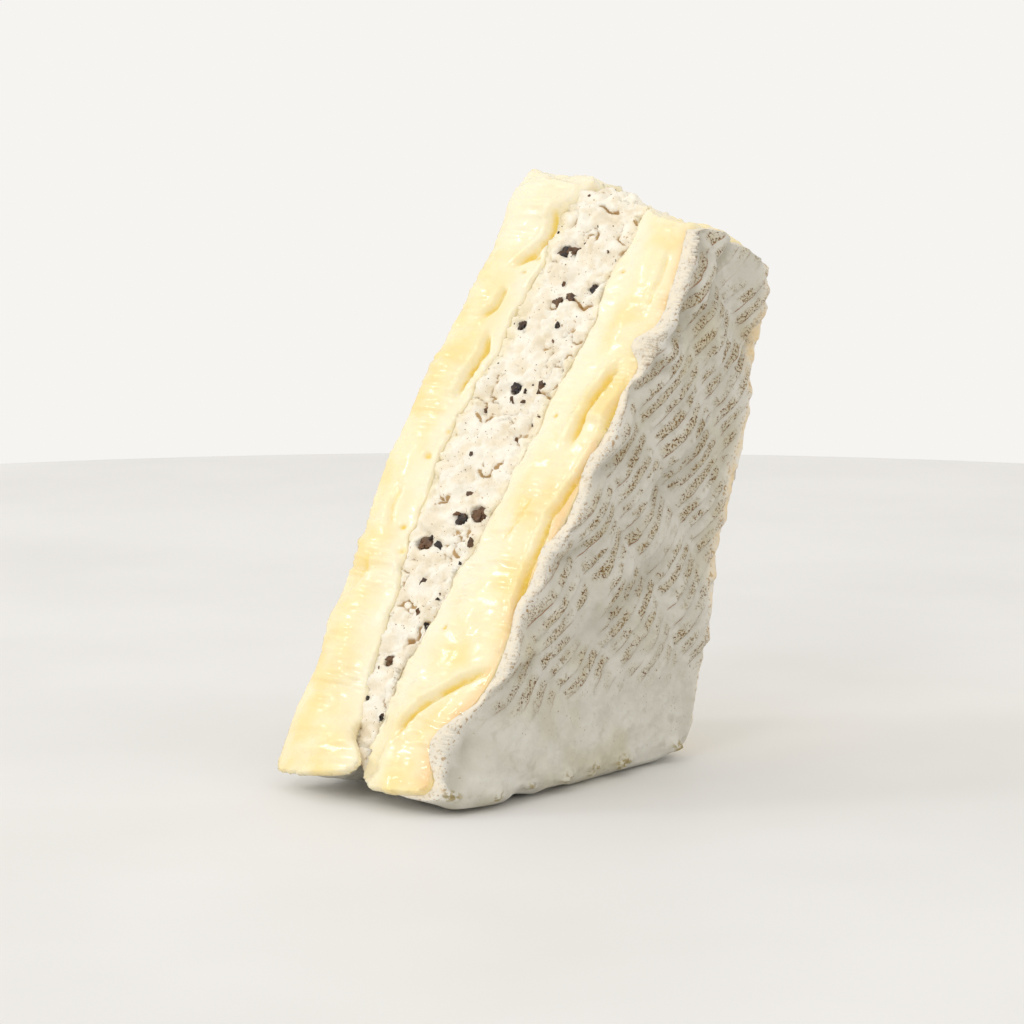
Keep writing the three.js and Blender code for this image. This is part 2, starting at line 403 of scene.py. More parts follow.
def swelling(points, centre, radius):
    """1 at a place, falling to 0 at about twice the radius."""
    return bell(np.linalg.norm(points - centre, axis=1), 0, radius)


# --- The paste ---

# Soft bulges of the paste: layer share, height share, radius, rise
PASTE_BULGES = [
    (-1.4, 0.93, 4.4, 1.8), (-1.08, 0.92, 2, 1.5), (-1.55, 0.79, 3.6, 1), (-1.6, 0.67, 3.6, 1),
    (-1.45, 0.52, 4.6, 0.6), (-1.55, 0.36, 4.6, 0.8), (-1.4, 0.24, 5.5, 0.9),
    (-1.45, 0.09, 6, 0.8), (1.4, 0.88, 3.6, 0.7), (1.35, 0.74, 4.5, 0.5), (1.66, 0.61, 2.2, 0.9),
    (1.4, 0.46, 5, 0.8), (1.35, 0.31, 5.5, 1), (1.3, 0.15, 5, 0.9), (1.5, 0.05, 4.5, 0.9),
]

# Folds of the paste on the near cut: a path of (layer, height) shares, width, depth
PASTE_FOLDS = [
    ([(-1.4, 0.825), (-1.22, 0.845), (-1.06, 0.875), (-1.01, 0.93)], 0.55, 1.2),
    ([(-1.19, 0.61), (-1.19, 0.65), (-1.14, 0.69), (-1.24, 0.73)], 0.5, 1),
    ([(-1.5, 0.74), (-1.3, 0.76), (-1.26, 0.8)], 0.45, 0.7),
    ([(-1.3, 0.4), (-1.42, 0.44), (-1.4, 0.48)], 0.5, 0.5),
    ([(-1.7, 0.3), (-1.52, 0.33), (-1.45, 0.37)], 0.6, 0.4),
    ([(1.47, 0.55), (1.48, 0.6), (1.5, 0.64), (1.58, 0.7)], 0.6, 1.3),
    (
        [(1.9, 0.23), (1.86, 0.28), (1.8, 0.33), (1.76, 0.39), (1.73, 0.45), (1.78, 0.5)]
        + [(1.83, 0.55), (1.81, 0.6), (1.76, 0.65), (1.74, 0.71)],
        0.45,
        1.0,
    ),
    ([(1.62, 0.76), (1.68, 0.82), (1.66, 0.88)], 0.4, 0.35),
    ([(1.32, 0.09), (1.36, 0.13), (1.45, 0.165), (1.62, 0.2), (1.84, 0.23)], 0.6, 0.9),
    ([(1.25, 0.4), (1.4, 0.44), (1.45, 0.49)], 0.5, 0.4),
]

# Small pits in the paste beside the filling, painted yellow as their shade: layer share, height
# share, radius
PASTE_PITS = [
    (-1.12, 0.845, 0.5), (-1.16, 0.82, 0.4), (-0.98, 0.56, 0.75), (-1.16, 0.52, 0.7),
    (-1.15, 0.41, 0.6), (-1.04, 0.373, 0.9), (1.12, 0.83, 0.4), (1.14, 0.6, 0.45),
    (1.18, 0.27, 0.5),
]
PIT_DEPTH = 0.6


# Unevenness of the paste's cut faces: height, stretch, size, layers, seed
PASTE_RELIEF = [(0.3, EVEN, 5.5, 2, 5), (0.28, (1, 0.45, 0.45), 3.4, 1, 4)]
PASTE_RELIEF += [(0.1, (0.6, 1, 1), 1.8, 2, 7)]

# How the soft paste has slumped over the edges of each cut
SPILL_INSET = 2.6
SPILL_OVER = 1.2  # how far it reaches over the left rind's edge
SPILL_OVER_LAYERS = (-1.45, -1.8)
SCALLOP = 1.0  # that reach is uneven by this much
SCALLOP_SIZE = 7.5
SPILL_DOWN = 1.7  # how far it reaches down over the rim
FAR_SPILL_LESS = 0.9  # and how much less at the far cut
SPILL_Z = (9, 2.5)
SPILL_LAYERS = (-2.0, -1.6, -1.2, -0.9, 0.9, 1.2, 1.6, 2.0)
SPILL_FURTHER = (7.4, 2.0, -1.2, -1.0, 0.6, 0.5, 0.8, 0.4)  # at those layers, near cut only
FURTHER_Z = (13, 5)
SPILL_PROUD = 0.8  # how far it stands in front of the rim
FAR_PROUD = 1.4  # the paste stands out beyond the rind at the far cut
FAR_PROUD_LAYERS = (1.4, 1.8)

# How the halves' toes spread and close the seam between them
LOW_CORNER = 2.9  # the left half spreads at its foot
LOW_CORNER_UP = (0.03, 0.05)
LOW_CORNER_LAYERS = (-1.2, -2.0)
SEAM_CLOSE = {-1: 2.4, 1: 1.2}  # of the left and the right half
SEAM_CLOSE_LAYERS = (1.7, 1.0)
SEAM_CLOSE_UP = (0.16, 0.08)
SEAM_DROP = {-1: 0.6, 1: 1.6}  # both sag beside the seam
SEAM_DROP_WIDTH = 0.4
SEAM_DROP_Z = (12, 5)
SEAM_REACH = 10.5  # the left half's toe reaches across the seam
SEAM_REACH_LAYERS = (-1.9, -1.2)
SEAM_REACH_Z = (10, 2)

# The left half's end at the nose
NOSE_CAP = 1.6  # it overhangs the filling
CAP_UP = (0.925, 0.035)
CAP_LAYERS = (1.6, 1.1)
NOSE_CURL = 3.0  # its torn top stands up behind the cut and leans over the filling
CURL_WAY = (0.9, 0, 1.0)
CURL_STARTS, CURL_ENDS = (1.0, 5.0), (17, 10)  # millimetres of inset
CURL_LAYERS = (-1.7, -1.1)
CURL_UP = (0.86, 0.97)
NOSE_PALE = 0.85  # and it is paler there
PALE_UP = (0.82, 0.9)
PALE_NOSE_LAYERS = (-0.8, -1.2)
TORN_LUMPS = [(0.9, EVEN, 4, 3, 15)]
TORN_SHREDS = [(1, EVEN, 1.5, 2, 19)]
SHRED_HEIGHT = 0.35

# Colours of the paste across the layers
UNDER_RIND_LAYERS = (1.7, 1.88)
UNDER_RIND_LEFT = 0.35  # fainter on the left half
PALE_LAYERS = (1.5, 1.0)

# Fine ripples that the knife dragged across the paste
RIPPLE_HEIGHT = 0.3
RIPPLE_SIZE = 0.75
RIPPLE_STRETCH = (0.2, 1, 1)
RIPPLED = (-0.2, 0.4)
# Where the knife left strong ripples: layer share, height share, radius
RIPPLE_PATCHES = [(-1.6, 0.35, 6.0), (-1.45, 0.17, 6.0), (1.45, 0.36, 5.0), (1.5, 0.13, 4.0)]
RIPPLE_PATCHES += [(1.72, 0.8, 2.5), (-1.55, 0.58, 4.0)]


def knife_ripples(skin):
    fine = noise(skin.at * RIPPLE_STRETCH, RIPPLE_SIZE, 11)
    patches = ramp(noise(skin.at, 7, 12), *RIPPLED)
    for layer, up, radius in RIPPLE_PATCHES:
        patches += swelling(skin.on_cut, cut_point(layer, up), radius)
    return RIPPLE_HEIGHT * fine * patches


def near_rim(skin):
    return bell(skin.inset, 0, SPILL_INSET)


def both_rims(skin):
    return np.maximum(near_rim(skin), bell(skin.far_inset, 0, SPILL_INSET))


def spill_paste(skin):
    """The edges slump over the left rind and down over the rim."""
    over, near, z = both_rims(skin), near_rim(skin), skin.z
    reach = SPILL_OVER + SCALLOP * noise(skin.at, SCALLOP_SIZE, 72)
    skin.push(-reach * over * ramp(skin.layer, *SPILL_OVER_LAYERS), ACROSS)
    at_foot = over * ramp(z, *SPILL_Z)
    skin.push(-(SPILL_DOWN - FAR_SPILL_LESS * (1 - near)) * at_foot, UP)
    further = np.interp(skin.layer, SPILL_LAYERS, SPILL_FURTHER) * near
    skin.push(-further * ramp(z, *FURTHER_Z), UP)
    skin.push(SPILL_PROUD * at_foot * skin.near, NEAR_OUT)
    skin.push(FAR_PROUD * skin.far * ramp(abs(skin.layer), *FAR_PROUD_LAYERS), FAR_OUT)


def close_seam(skin, side):
    """At the foot the toes meet in front of the filling."""
    over, near, z = both_rims(skin), near_rim(skin), skin.z
    spread = bell(skin.up, *LOW_CORNER_UP) * ramp(skin.layer, *LOW_CORNER_LAYERS)
    skin.push(-LOW_CORNER * over * spread, ACROSS)
    seam = ramp(abs(skin.layer), *SEAM_CLOSE_LAYERS) * ramp(skin.up, *SEAM_CLOSE_UP)
    skin.push(-side * SEAM_CLOSE[side] * over * seam, ACROSS)
    beside = bell(abs(skin.layer), 1, SEAM_DROP_WIDTH) * ramp(z, *SEAM_DROP_Z)
    skin.push(-SEAM_DROP[side] * near * beside, UP)
    if side < 0:
        toe = ramp(z, *SEAM_REACH_Z) * ramp(skin.layer, *SEAM_REACH_LAYERS)
        skin.push(SEAM_REACH * toe * near, ACROSS)


def break_nose(skin, side):
    """The torn top. The left half's caps the filling and curls over it."""
    torn = relief(skin.at, TORN_LUMPS) + SHRED_HEIGHT * abs(relief(skin.at, TORN_SHREDS))
    skin.push(skin.top * torn, UP)
    if side < 0:
        cap = bell(skin.up, *CAP_UP) * ramp(abs(skin.layer), *CAP_LAYERS)
        skin.push(NOSE_CAP * cap * near_rim(skin), ACROSS)
        behind = ramp(skin.inset, *CURL_STARTS) * ramp(skin.inset, *CURL_ENDS)
        curl = behind * ramp(skin.layer, *CURL_LAYERS) * ramp(skin.up, *CURL_UP)
        skin.push(NOSE_CURL * curl, CURL_WAY)


FOLD_LIP = 0.55  # height of a fold's lip, in depths of its groove
FAR_CREASE = (0.5, 0.8)  # depth and shade
FAR_CREASE_LINES = (0.09, 0)
FAR_CREASED = (0.0, 0.4)


def mark_cuts(skin):
    """Marks the near cut and creases the far one. Returns the painted shade of its grooves, pits
    and far creases, which the paste turns deep yellow.
    """
    for layer, up, radius, rise in PASTE_BULGES:
        bulge = swelling(skin.on_cut, cut_point(layer, up), radius) * skin.near
        skin.push(rise * bulge, NEAR_OUT)
    groove_shade = np.zeros(len(skin.at))
    for path, width, depth in PASTE_FOLDS:
        groove, lip = fold(skin.on_cut, [cut_point(*share) for share in path], width)
        skin.push((FOLD_LIP * depth * lip - depth * groove) * skin.near, NEAR_OUT)
        groove_shade = np.maximum(groove_shade, groove * skin.near * min(1, 0.3 + 0.7 * depth))
    for layer, up, radius in PASTE_PITS:
        pit = swelling(skin.on_cut, cut_point(layer, up), radius) * skin.near
        skin.push(-PIT_DEPTH * pit, NEAR_OUT)
        groove_shade = np.maximum(groove_shade, pit)
    depth, shade = FAR_CREASE
    line = abs(noise(skin.at * (1, 0.35, 0.35), 5.0, 8))
    crease = ramp(line, *FAR_CREASE_LINES) * ramp(noise(skin.at, 9, 9), *FAR_CREASED) * skin.far
    skin.push(-depth * crease, FAR_OUT)
    return np.maximum(groove_shade, shade * crease)


def shape_paste(skin, side):
    cut = np.maximum(skin.near, skin.far)
    skin.push(GROW)
    skin.push(cut * (relief(skin.at, PASTE_RELIEF) + knife_ripples(skin)))
    spill_paste(skin)
    close_seam(skin, side)
    break_nose(skin, side)
    skin.paint("groove_shade", mark_cuts(skin))
    rim = abs(skin.layer) + 0.05 * noise(skin.at, 3, 16)
    strength = 1 if side > 0 else UNDER_RIND_LEFT
    skin.paint("under_rind", ramp(rim, *UNDER_RIND_LAYERS) * cut * strength)
    pale = ramp(abs(skin.layer) - 0.1 * noise(skin.at, 4, 17), *PALE_LAYERS)
    nose = NOSE_PALE * ramp(skin.up, *PALE_UP) * ramp(skin.layer, *PALE_NOSE_LAYERS)
    skin.paint("pale", np.maximum(pale, nose))


# --- The filling ---

# Splits in the crumbly filling: a path of (layer, height) shares, width, depth
FILLING_CRACKS = [
    ([(-0.15, 0.935), (0.1, 0.925), (0.4, 0.927)], 0.3, 0.9),
    ([(-0.45, 0.79), (-0.2, 0.77), (0.1, 0.785), (0.5, 0.772), (0.9, 0.775)], 0.3, 1),
    ([(0.45, 0.635), (0.8, 0.63), (1, 0.635)], 0.3, 0.9),
    ([(0.05, 0.53), (0.3, 0.5), (0.6, 0.54)], 0.3, 0.7),
    ([(0.3, 0.41), (0.45, 0.39), (0.73, 0.375)], 0.35, 0.8),
    ([(0, 0.25), (0.3, 0.235), (0.6, 0.26), (0.9, 0.28)], 0.4, 1.2),
    ([(-0.1, 0.87), (0.1, 0.89), (0.25, 0.86)], 0.25, 0.6),
    ([(0.85, 0.93), (0.92, 0.89), (0.8, 0.85)], 0.3, 0.8),
    ([(-0.6, 0.47), (-0.35, 0.45), (-0.2, 0.47)], 0.25, 0.5),
    ([(-0.7, 0.6), (-0.4, 0.58), (-0.25, 0.6)], 0.25, 0.5),
]

SPLIT_SHARE = 0.85  # how much of those widths the splits have
SPLIT_RAGGED = 2.6
SPLIT_LIP = 0.3

# The crumbly open faces: size, height and usual value of each kind of lump
CLUMPS = (3.0, 1.4, 0.42)
GRAINS = (1.1, 0.45, 0.35)
WAVES = (6, 0.4)  # size and height
CREVICE_CLUMPS = (0.12, 0.03)  # crevices lie where the clumps are lowest
CREVICED = (-0.3, 0.3)
CREVICE_DEPTH, CREVICE_SHADE = 0.45, 0.7

# The filling low in the seam
SEAM_UP = (0.22, 0.08)
FILLING_DROP = 3.2  # a bit of it shows there
DROP_INSET = 5
FOOT_PROUD = 1.5  # it bulges out
FOOT_FILL = 1.8  # and spreads behind both toes
FOOT_INSET = 2.5

# The filling's broken end at the nose
NOSE_RAGGED = [(1.1, EVEN, 3.2, 3, 27)]
NOSE_RIDGE = 1.3  # it stands up behind the cut
RIDGE_LAYERS = (-0.35, 0.8)
RIDGE_INSET = (0.5, 4)
NOSE_KNOB = 1.5
KNOB_LAYERS, KNOB_INSET = (0.45, 0.16), (4, 1.5)  # middles and reaches

SMEARED_LAYERS = (0.72, 1.0)  # paste is smeared over the filling's edges


def fill_seam(skin):
    """The filling sags and spreads between the halves' toes."""
    low = ramp(skin.up, *SEAM_UP)
    skin.push(-FILLING_DROP * low * bell(skin.inset, 0, DROP_INSET), UP)
    front = low * bell(skin.inset, 0, FOOT_INSET)
    skin.push(FOOT_PROUD * front, NEAR_OUT)
    skin.push(FOOT_FILL * front * np.clip(1.3 * skin.layer, -1, 1), ACROSS)


def split_filling(skin, shaded_cracks):
    """Opens the near cut's splits and adds their painted shade to that of the cracks."""
    for path, width, depth in FILLING_CRACKS:
        corners = [cut_point(*share) for share in path]
        groove, lip = fold(skin.on_cut, corners, SPLIT_SHARE * width, SPLIT_RAGGED)
        skin.push((SPLIT_LIP * depth * lip - depth * groove) * skin.near, NEAR_OUT)
        shaded_cracks = np.maximum(shaded_cracks, groove * skin.near)
    return shaded_cracks


def shape_filling(skin):
    open_faces = np.clip(skin.near + skin.far + skin.top, 0, 1)
    skin.push(GROW)
    clumps, grains = abs(layered(skin.at, CLUMPS[0], 3, 21)), abs(noise(skin.at, GRAINS[0], 25))
    lumps = CLUMPS[1] * (clumps - CLUMPS[2]) + GRAINS[1] * (grains - GRAINS[2])
    skin.push(open_faces * (lumps + WAVES[1] * noise(skin.at, WAVES[0], 23)))
    crevice = ramp(clumps, *CREVICE_CLUMPS) * ramp(noise(skin.at, 4, 28), *CREVICED)
    skin.push(-CREVICE_DEPTH * crevice * open_faces)
    fill_seam(skin)
    shaded_cracks = split_filling(skin, CREVICE_SHADE * crevice)
    ridge = NOSE_RIDGE * bell(skin.layer, *RIDGE_LAYERS) * ramp(skin.inset, *RIDGE_INSET)
    knob = NOSE_KNOB * bell(skin.layer, *KNOB_LAYERS) * bell(skin.inset, *KNOB_INSET)
    skin.push(skin.top * (relief(skin.at, NOSE_RAGGED) + ridge + knob), UP)
    skin.paint("crack_shade", shaded_cracks * open_faces)
    smeared = ramp(abs(skin.layer) + 0.12 * noise(skin.at, 2.5, 29), *SMEARED_LAYERS)
    skin.paint("smeared", smeared)


# --- The rind ---

# Lobes where the rind rolls over the near cut: height share, half length, reach
RIND_LOBES = {
    "rind_right": [
        (0.9, 6.0, 0.9),
        (0.8, 4.0, 0.6),
        (0.715, 2.4, 5.0),
        (0.645, 2.6, 1.5),
        (0.53, 3.0, 1.3),
        (0.4, 2.6, 1.6),
        (0.31, 2.6, 0.8),
        (0.115, 4.2, 3.2),
    ],
    "rind_left": [(0.9, 5.0, 0.3), (0.6, 4.0, 0.3), (0.27, 5.0, 0.4)],
}
LOBE_INSET = 2.6
LOBE_HELD = 0.55  # how far the outer face stays behind
LOBE_PROUD = 0.4  # how far a lobe stands in front of the cut, for each millimetre of reach

# Rounded folds of the right rind: a path of (depth, height) shares, width, rise
RIND_FOLDS = [
    ([(0.2, 0.7), (0.15, 0.77), (0.13, 0.84), (0.17, 0.93)], 1.3, 1.9),
    ([(0.33, 0.74), (0.4, 0.82), (0.54, 0.9)], 1.2, 1.6),
    ([(0.25, 0.735), (0.27, 0.765), (0.27, 0.795)], 0.3, 0.8),
    ([(0.03, 0.62), (0.1, 0.655), (0.13, 0.69), (0.3, 0.67)], 1, 1.2),
    ([(0.02, 0.5), (0.12, 0.53), (0.25, 0.57)], 1.1, 1.1),
    ([(0, 0.36), (0.1, 0.39), (0.22, 0.41)], 1.1, 1),
    ([(0.8, 0.66), (0.88, 0.7), (0.9, 0.75)], 0.5, 0.7),
    ([(0.00, 0.17), (0.08, 0.21), (0.2, 0.24)], 1.1, 1.1),
    ([(0.05, 0.02), (0.08, 0.07), (0.09, 0.13)], 1.2, 1.8),
    ([(0.45, 0.45), (0.6, 0.5), (0.75, 0.58)], 2.2, 0.7),
    ([(0.3, 0.24), (0.5, 0.3), (0.7, 0.38)], 2.4, 0.7),
]

FOLD_GROOVE = 0.5

# Olive crusts along the rim: depth share, height share, radius
RIM_CRUSTS = [(0.06, 0.03, 1.8), (0.46, 0.022, 1.5), (0.57, 0.026, 1.4), (0.69, 0.022, 2.2)]
RIM_CRUSTS += [(0.9, 0.03, 1.5), (0.2, 0.02, 1.3), (0.33, 0.018, 1.2)]
CRUST_RISE = 1.2
CRUST_GRAIN = 0.9

# The mat's marks: uneven lines, sets that wander and weaken, and worn places
REED_SWAY = [(0.9, EVEN, 11, 1, 31), (0.3, EVEN, 4, 1, 32)]
SET_SWAY = [(1.8, EVEN, 10, 1, 33)]
SET_SKEW = 0.1
SET_STARTS, SET_ENDS = (0.02, 0.12), (0.99, 0.9)  # shares of a set's length
STAGGER_STEP = 2.4
MARKS_FROM = (RIM_SMOOTH - 5, RIM_SMOOTH + 3)
PILLOW_FROM = (RIM_SMOOTH - 8, RIM_SMOOTH + 6)
PILLOW_LOW = 0.3  # how much the sets still swell below that
TERRACE_TOP = 0.75  # each mark rises over this share of the pitch and then drops
TERRACE_MEAN = 0.6
WORN_SIZE, WORN = 6, (-0.8, 0.0)

# Unevenness of the outer face and of the cut edge, and dents in the underside
RIND_RELIEF = [(0.42, EVEN, 6, 3, 35), (0.15, EVEN, 1.4, 2, 36)]
SECTION_RELIEF = [(0.25, EVEN, 2.0, 2, 37)]
FOOT_DENTS = [(0.9, EVEN, 7, 2, 40)]
FACING_OUT = (0.3, 0.8)
DENTS_Z, CRUST_Z = (6, 1), (5, 3)

# Where the rinds' edges lie
ROLL_INSET = (0.6, 1.7)  # the right rind's near edge is rolled: middle and reach
ROLL_Z = (5, 12)
ROLL_PROUD, ROLL_OUT = 0.55, 0.6
FOOT_RETREAT = 1.4  # it stops short of the near cut under the foot
FOOT_RETREAT_Z = (7, 3)
LEFT_RETREAT = 1.9  # the left rind stops short of both cuts
RETREAT_INSET = 3.0

# What shows at the far edge: its width, and a tear that bares more of the paste
FAR_EDGE = 1.4
TEAR_WIDER = 2.4
TEAR_UP = (0.7, 0.05)
EDGE_INSET = 2.2


def face_point(back, up):
    """Millimetres back and up on a rind's face, for a depth share and a height share."""
    z = up * HEIGHT
    near, far = NEAR_START + NEAR_SLOPE * z, FAR_START + FAR_SLOPE * z
    return np.array([near + back * (far - near), z])


def reed_marks(skin):
    """The mat's marks: their phase, where a set has them, and each point's place in its set."""
    y, z = skin.at[:, 1], skin.z
    along = math.cos(REED_SLOPE) * y + math.sin(REED_SLOPE) * z
    against = math.sin(REED_SLOPE) * y - math.cos(REED_SLOPE) * z
    wander = along + relief(skin.at, SET_SWAY) + SET_SKEW * against
    share = np.mod(wander, REED_SET) / REED_SET
    bow = REED_BOW * (share - 0.5) ** 2
    phase = (against + relief(skin.at, REED_SWAY) + bow) / REED_PITCH
    stagger = REED_STAGGER * np.sin(STAGGER_STEP * np.floor(phase))
    reach = np.mod(wander / REED_SET + stagger, 1)
    marked = ramp(z + 1.5 * noise(skin.at, 8, 39), *MARKS_FROM)
    return phase, ramp(reach, *SET_STARTS) * ramp(reach, *SET_ENDS) * marked, share


def press_mat(skin, side, outside):
    """Presses the mat's terraces and pillowy sets into the outer face."""
    phase, in_set, share = reed_marks(skin)
    turn = np.mod(phase, 1)
    terrace = np.where(turn < TERRACE_TOP, turn / TERRACE_TOP, (1 - turn) / (1 - TERRACE_TOP))
    terrace = ramp(terrace, 0, 1)
    in_set = in_set * ramp(noise(skin.at, WORN_SIZE, 34), *WORN) * outside
    skin.push(side * REED_DEPTH * (terrace - TERRACE_MEAN) * in_set, ACROSS)
    swell = PILLOW_LOW + (1 - PILLOW_LOW) * ramp(skin.z, *PILLOW_FROM)
    pillow = PILLOW * (np.sin(math.pi * share) * swell - 0.5)
    skin.push(side * outside * (pillow + relief(skin.at, RIND_RELIEF)), ACROSS)
    skin.paint("reed_phase", phase)
    skin.paint("reed_set", in_set)


def roll_lobes(skin, side, outside):
    """Lobes of the rind roll over the near cut."""
    edge = bell(skin.inset, 0, LOBE_INSET)
    for up, reach, length in RIND_LOBES[skin.node]:
        lobe = length * bell(skin.z, up * HEIGHT, reach) * edge
        skin.push(-side * lobe * (1 - LOBE_HELD * outside), ACROSS)
        skin.push(LOBE_PROUD * lobe, NEAR_OUT)


def fold_right(skin, outside):
    """The right rind's folds and rolled edge. Returns the painted shade of the fold grooves."""
    z, fold_shade = skin.z, np.zeros(len(skin.at))
    for path, width, rise in RIND_FOLDS:
        groove, lip = fold(skin.at[:, 1:], [face_point(*share) for share in path], width)
        skin.push((rise * lip - FOLD_GROOVE * groove) * outside, ACROSS)
        fold_shade = np.maximum(fold_shade, groove * min(1, rise))
    roll = bell(skin.inset, *ROLL_INSET) * ramp(z, *ROLL_Z)
    skin.push(ROLL_PROUD * roll, NEAR_OUT)
    skin.push(ROLL_OUT * roll * outside, ACROSS)
    under = bell(skin.inset, 0, RETREAT_INSET) * ramp(z, *FOOT_RETREAT_Z)
    skin.push(-FOOT_RETREAT * under, NEAR_OUT)
    return fold_shade


def draw_back_left(skin):
    """The left rind's edges stay behind the slumped paste."""
    skin.push(-LEFT_RETREAT * bell(skin.inset, 0, RETREAT_INSET), NEAR_OUT)
    skin.push(-LEFT_RETREAT * bell(skin.far_inset, 0, RETREAT_INSET), FAR_OUT)


def crust_rim(skin, side, outside):
    """Dents the underside and grows crusts on the rim. Returns the crusts."""
    z, crust = skin.z, np.zeros(len(skin.at))
    dents = np.maximum(relief(skin.at, FOOT_DENTS), 0)
    skin.push(dents * ramp(z, *DENTS_Z), UP)
    for back, up, radius in RIM_CRUSTS:
        bump = swelling(skin.at[:, 1:], face_point(back, up), radius)
        bump *= ramp(z, *CRUST_Z) * outside
        skin.push(side * CRUST_RISE * bump * (1 + noise(skin.at, CRUST_GRAIN, 38)), ACROSS)
        crust = np.maximum(crust, bump)
    return crust


def shape_rind(skin, side):
    outside = ramp(skin.out[:, 0] * side, *FACING_OUT)
    press_mat(skin, side, outside)
    roll_lobes(skin, side, outside)
    fold_shade = np.zeros(len(skin.at))
    if side > 0:
        fold_shade = fold_right(skin, outside)
    else:
        draw_back_left(skin)
    skin.paint("crust", crust_rim(skin, side, outside))
    section = np.maximum(np.maximum(skin.near, skin.far), skin.top)
    skin.push(section * relief(skin.at, SECTION_RELIEF))
    skin.paint("section", section)
    skin.paint("edge", bell(np.minimum(skin.inset, skin.far_inset), 0, EDGE_INSET))
    skin.paint("fold_shade", fold_shade * outside)
    torn = FAR_EDGE + TEAR_WIDER * bell(skin.up, *TEAR_UP)
    skin.paint("far_edge", bell(skin.far_inset, 0, torn) * outside)


# --- Truffle ---

PIECE_SHARE = 1.05
CUT_HEIGHT = 0.12  # share of a lump's size from its middle to the cut
CUT_KEPT = 0.25  # how much of its roundness the cut left
BROWN_EVERY, BROWN, DARK = 3, 0.9, 0.3  # every third piece is a browner one
LUMP_RELIEF = [(0.75, EVEN, 0.75, 1), (0.55, EVEN, 0.33, 1)]
LEAST_RADIUS = 0.2


def lump_mesh(name, centre, size, seed, steps=4):
    """An uneven, angular lump that fills a box of the given size."""
    shape = bmesh.new()
    bmesh.ops.create_icosphere(shape, subdivisions=steps, radius=1)
    mesh = bpy.data.meshes.new(name)
    shape.to_mesh(mesh)
    shape.free()
    ball = points_of(mesh) * MM
    rough = relief(ball, [(*row, seed + i) for i, row in enumerate(LUMP_RELIEF)])
    shaped = ball * np.maximum(0.95 + rough, LEAST_RADIUS)[:, None]
    shaped *= np.asarray(size) / np.ptp(shaped, axis=0)
    mesh.vertices.foreach_set("co", ((shaped + centre) * MM).ravel())
    mesh.update()
    return mesh


def truffle_pieces(material):
    nodes = sorted(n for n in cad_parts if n.startswith("truffle_piece"))
    for i, node in enumerate(nodes):
        low, high = (np.array(corner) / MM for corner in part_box(node))
        centre = (low + high) / 2
        centre = centre + shared_lump(centre[None])[0]
        mesh = lump_mesh(f"chopped_{node}", centre, PIECE_SHARE * (high - low), 50 + 3 * i)
        cut_flush(mesh, centre, float(np.mean(high - low)))
        piece = placed(mesh.name, mesh)
        paint_brown(mesh, BROWN if i % BROWN_EVERY == 0 else DARK)
        hand_over(piece, material, "truffle", node)


def cut_flush(mesh, centre, size):
    """Flattens a lump where the knife passed, a little in front of its middle."""
    at = points_of(mesh)
    out = NEAR_OUT if centre[1] < NEAR_START / 2 + NEAR_SLOPE * centre[2] else FAR_OUT
    height = (at - centre) @ out
    beyond = np.maximum(height - CUT_HEIGHT * size, 0)
    at -= np.outer(beyond * (1 - CUT_KEPT), out)
    mesh.vertices.foreach_set("co", (at * MM).ravel())
    mesh.update()


def paint_brown(mesh, value):
    """Stores how brown a truffle mesh is."""
    layer = mesh.attributes.new("brown", "FLOAT", "POINT")
    layer.data.foreach_set("value", np.full(len(mesh.vertices), value, np.float32))


# Crumbs of truffle in the near cut that stand out: layer share, height share, size, brown
NEAR_CRUMBS = [
    (-0.26, 0.858, 1.3, 0.9), (0.22, 0.78, 1.2, 0.7), (0.17, 0.74, 0.6, 0), (0.17, 0.716, 1, 1),
    (-0.27, 0.809, 0.7, 0.9), (0.67, 0.857, 0.9, 0.8), (0.55, 0.64, 1.2, 0.8),
    (0.21, 0.633, 0.7, 0.2), (0.79, 0.671, 0.7, 0.9), (0.05, 0.617, 0.8, 0.9),
    (0.32, 0.618, 0.6, 0.8), (0.2, 0.47, 0.9, 0.9), (0.1, 0.438, 0.8, 1), (-0.1, 0.388, 1, 0.2),
    (-0.35, 0.397, 0.8, 0.5), (0.22, 0.418, 0.6, 0.3), (0.8, 0.398, 0.8, 0.5),
    (0.85, 0.364, 0.7, 0.4), (-0.09, 0.333, 0.9, 0.6), (0.62, 0.311, 0.6, 0),
    (0.07, 0.288, 0.8, 0.8), (0.85, 0.269, 1.2, 0.1), (-0.6, 0.161, 1.3, 0.1),
    (0.7, 0.14, 0.9, 0.3), (-0.8, 0.1, 0.8, 1), (-0.45, 0.6, 0.7, 0.7), (-0.2, 0.53, 0.6, 0.6),
    (0.6, 0.56, 0.5, 0.8),
]
CRUMB_SPRINKLE = 60  # more crumbs, strewn over each cut and the nose
CRUMB_SIZES = (0.22, 0.8)
CRUMB_SHARE = 1.65  # the listed crumbs' own scale
CRUMB_STRETCH = (0.5, 1.4)
CRUMB_DEPTH = 0.12  # how deep a crumb's middle lies, in shares of its size
CRUMB_SHAPES = 8
FULLY = 0.9  # how squarely a point faces a cut where a crumb may sit
NOSE_CRUMBS = CRUMB_SPRINKLE // 4


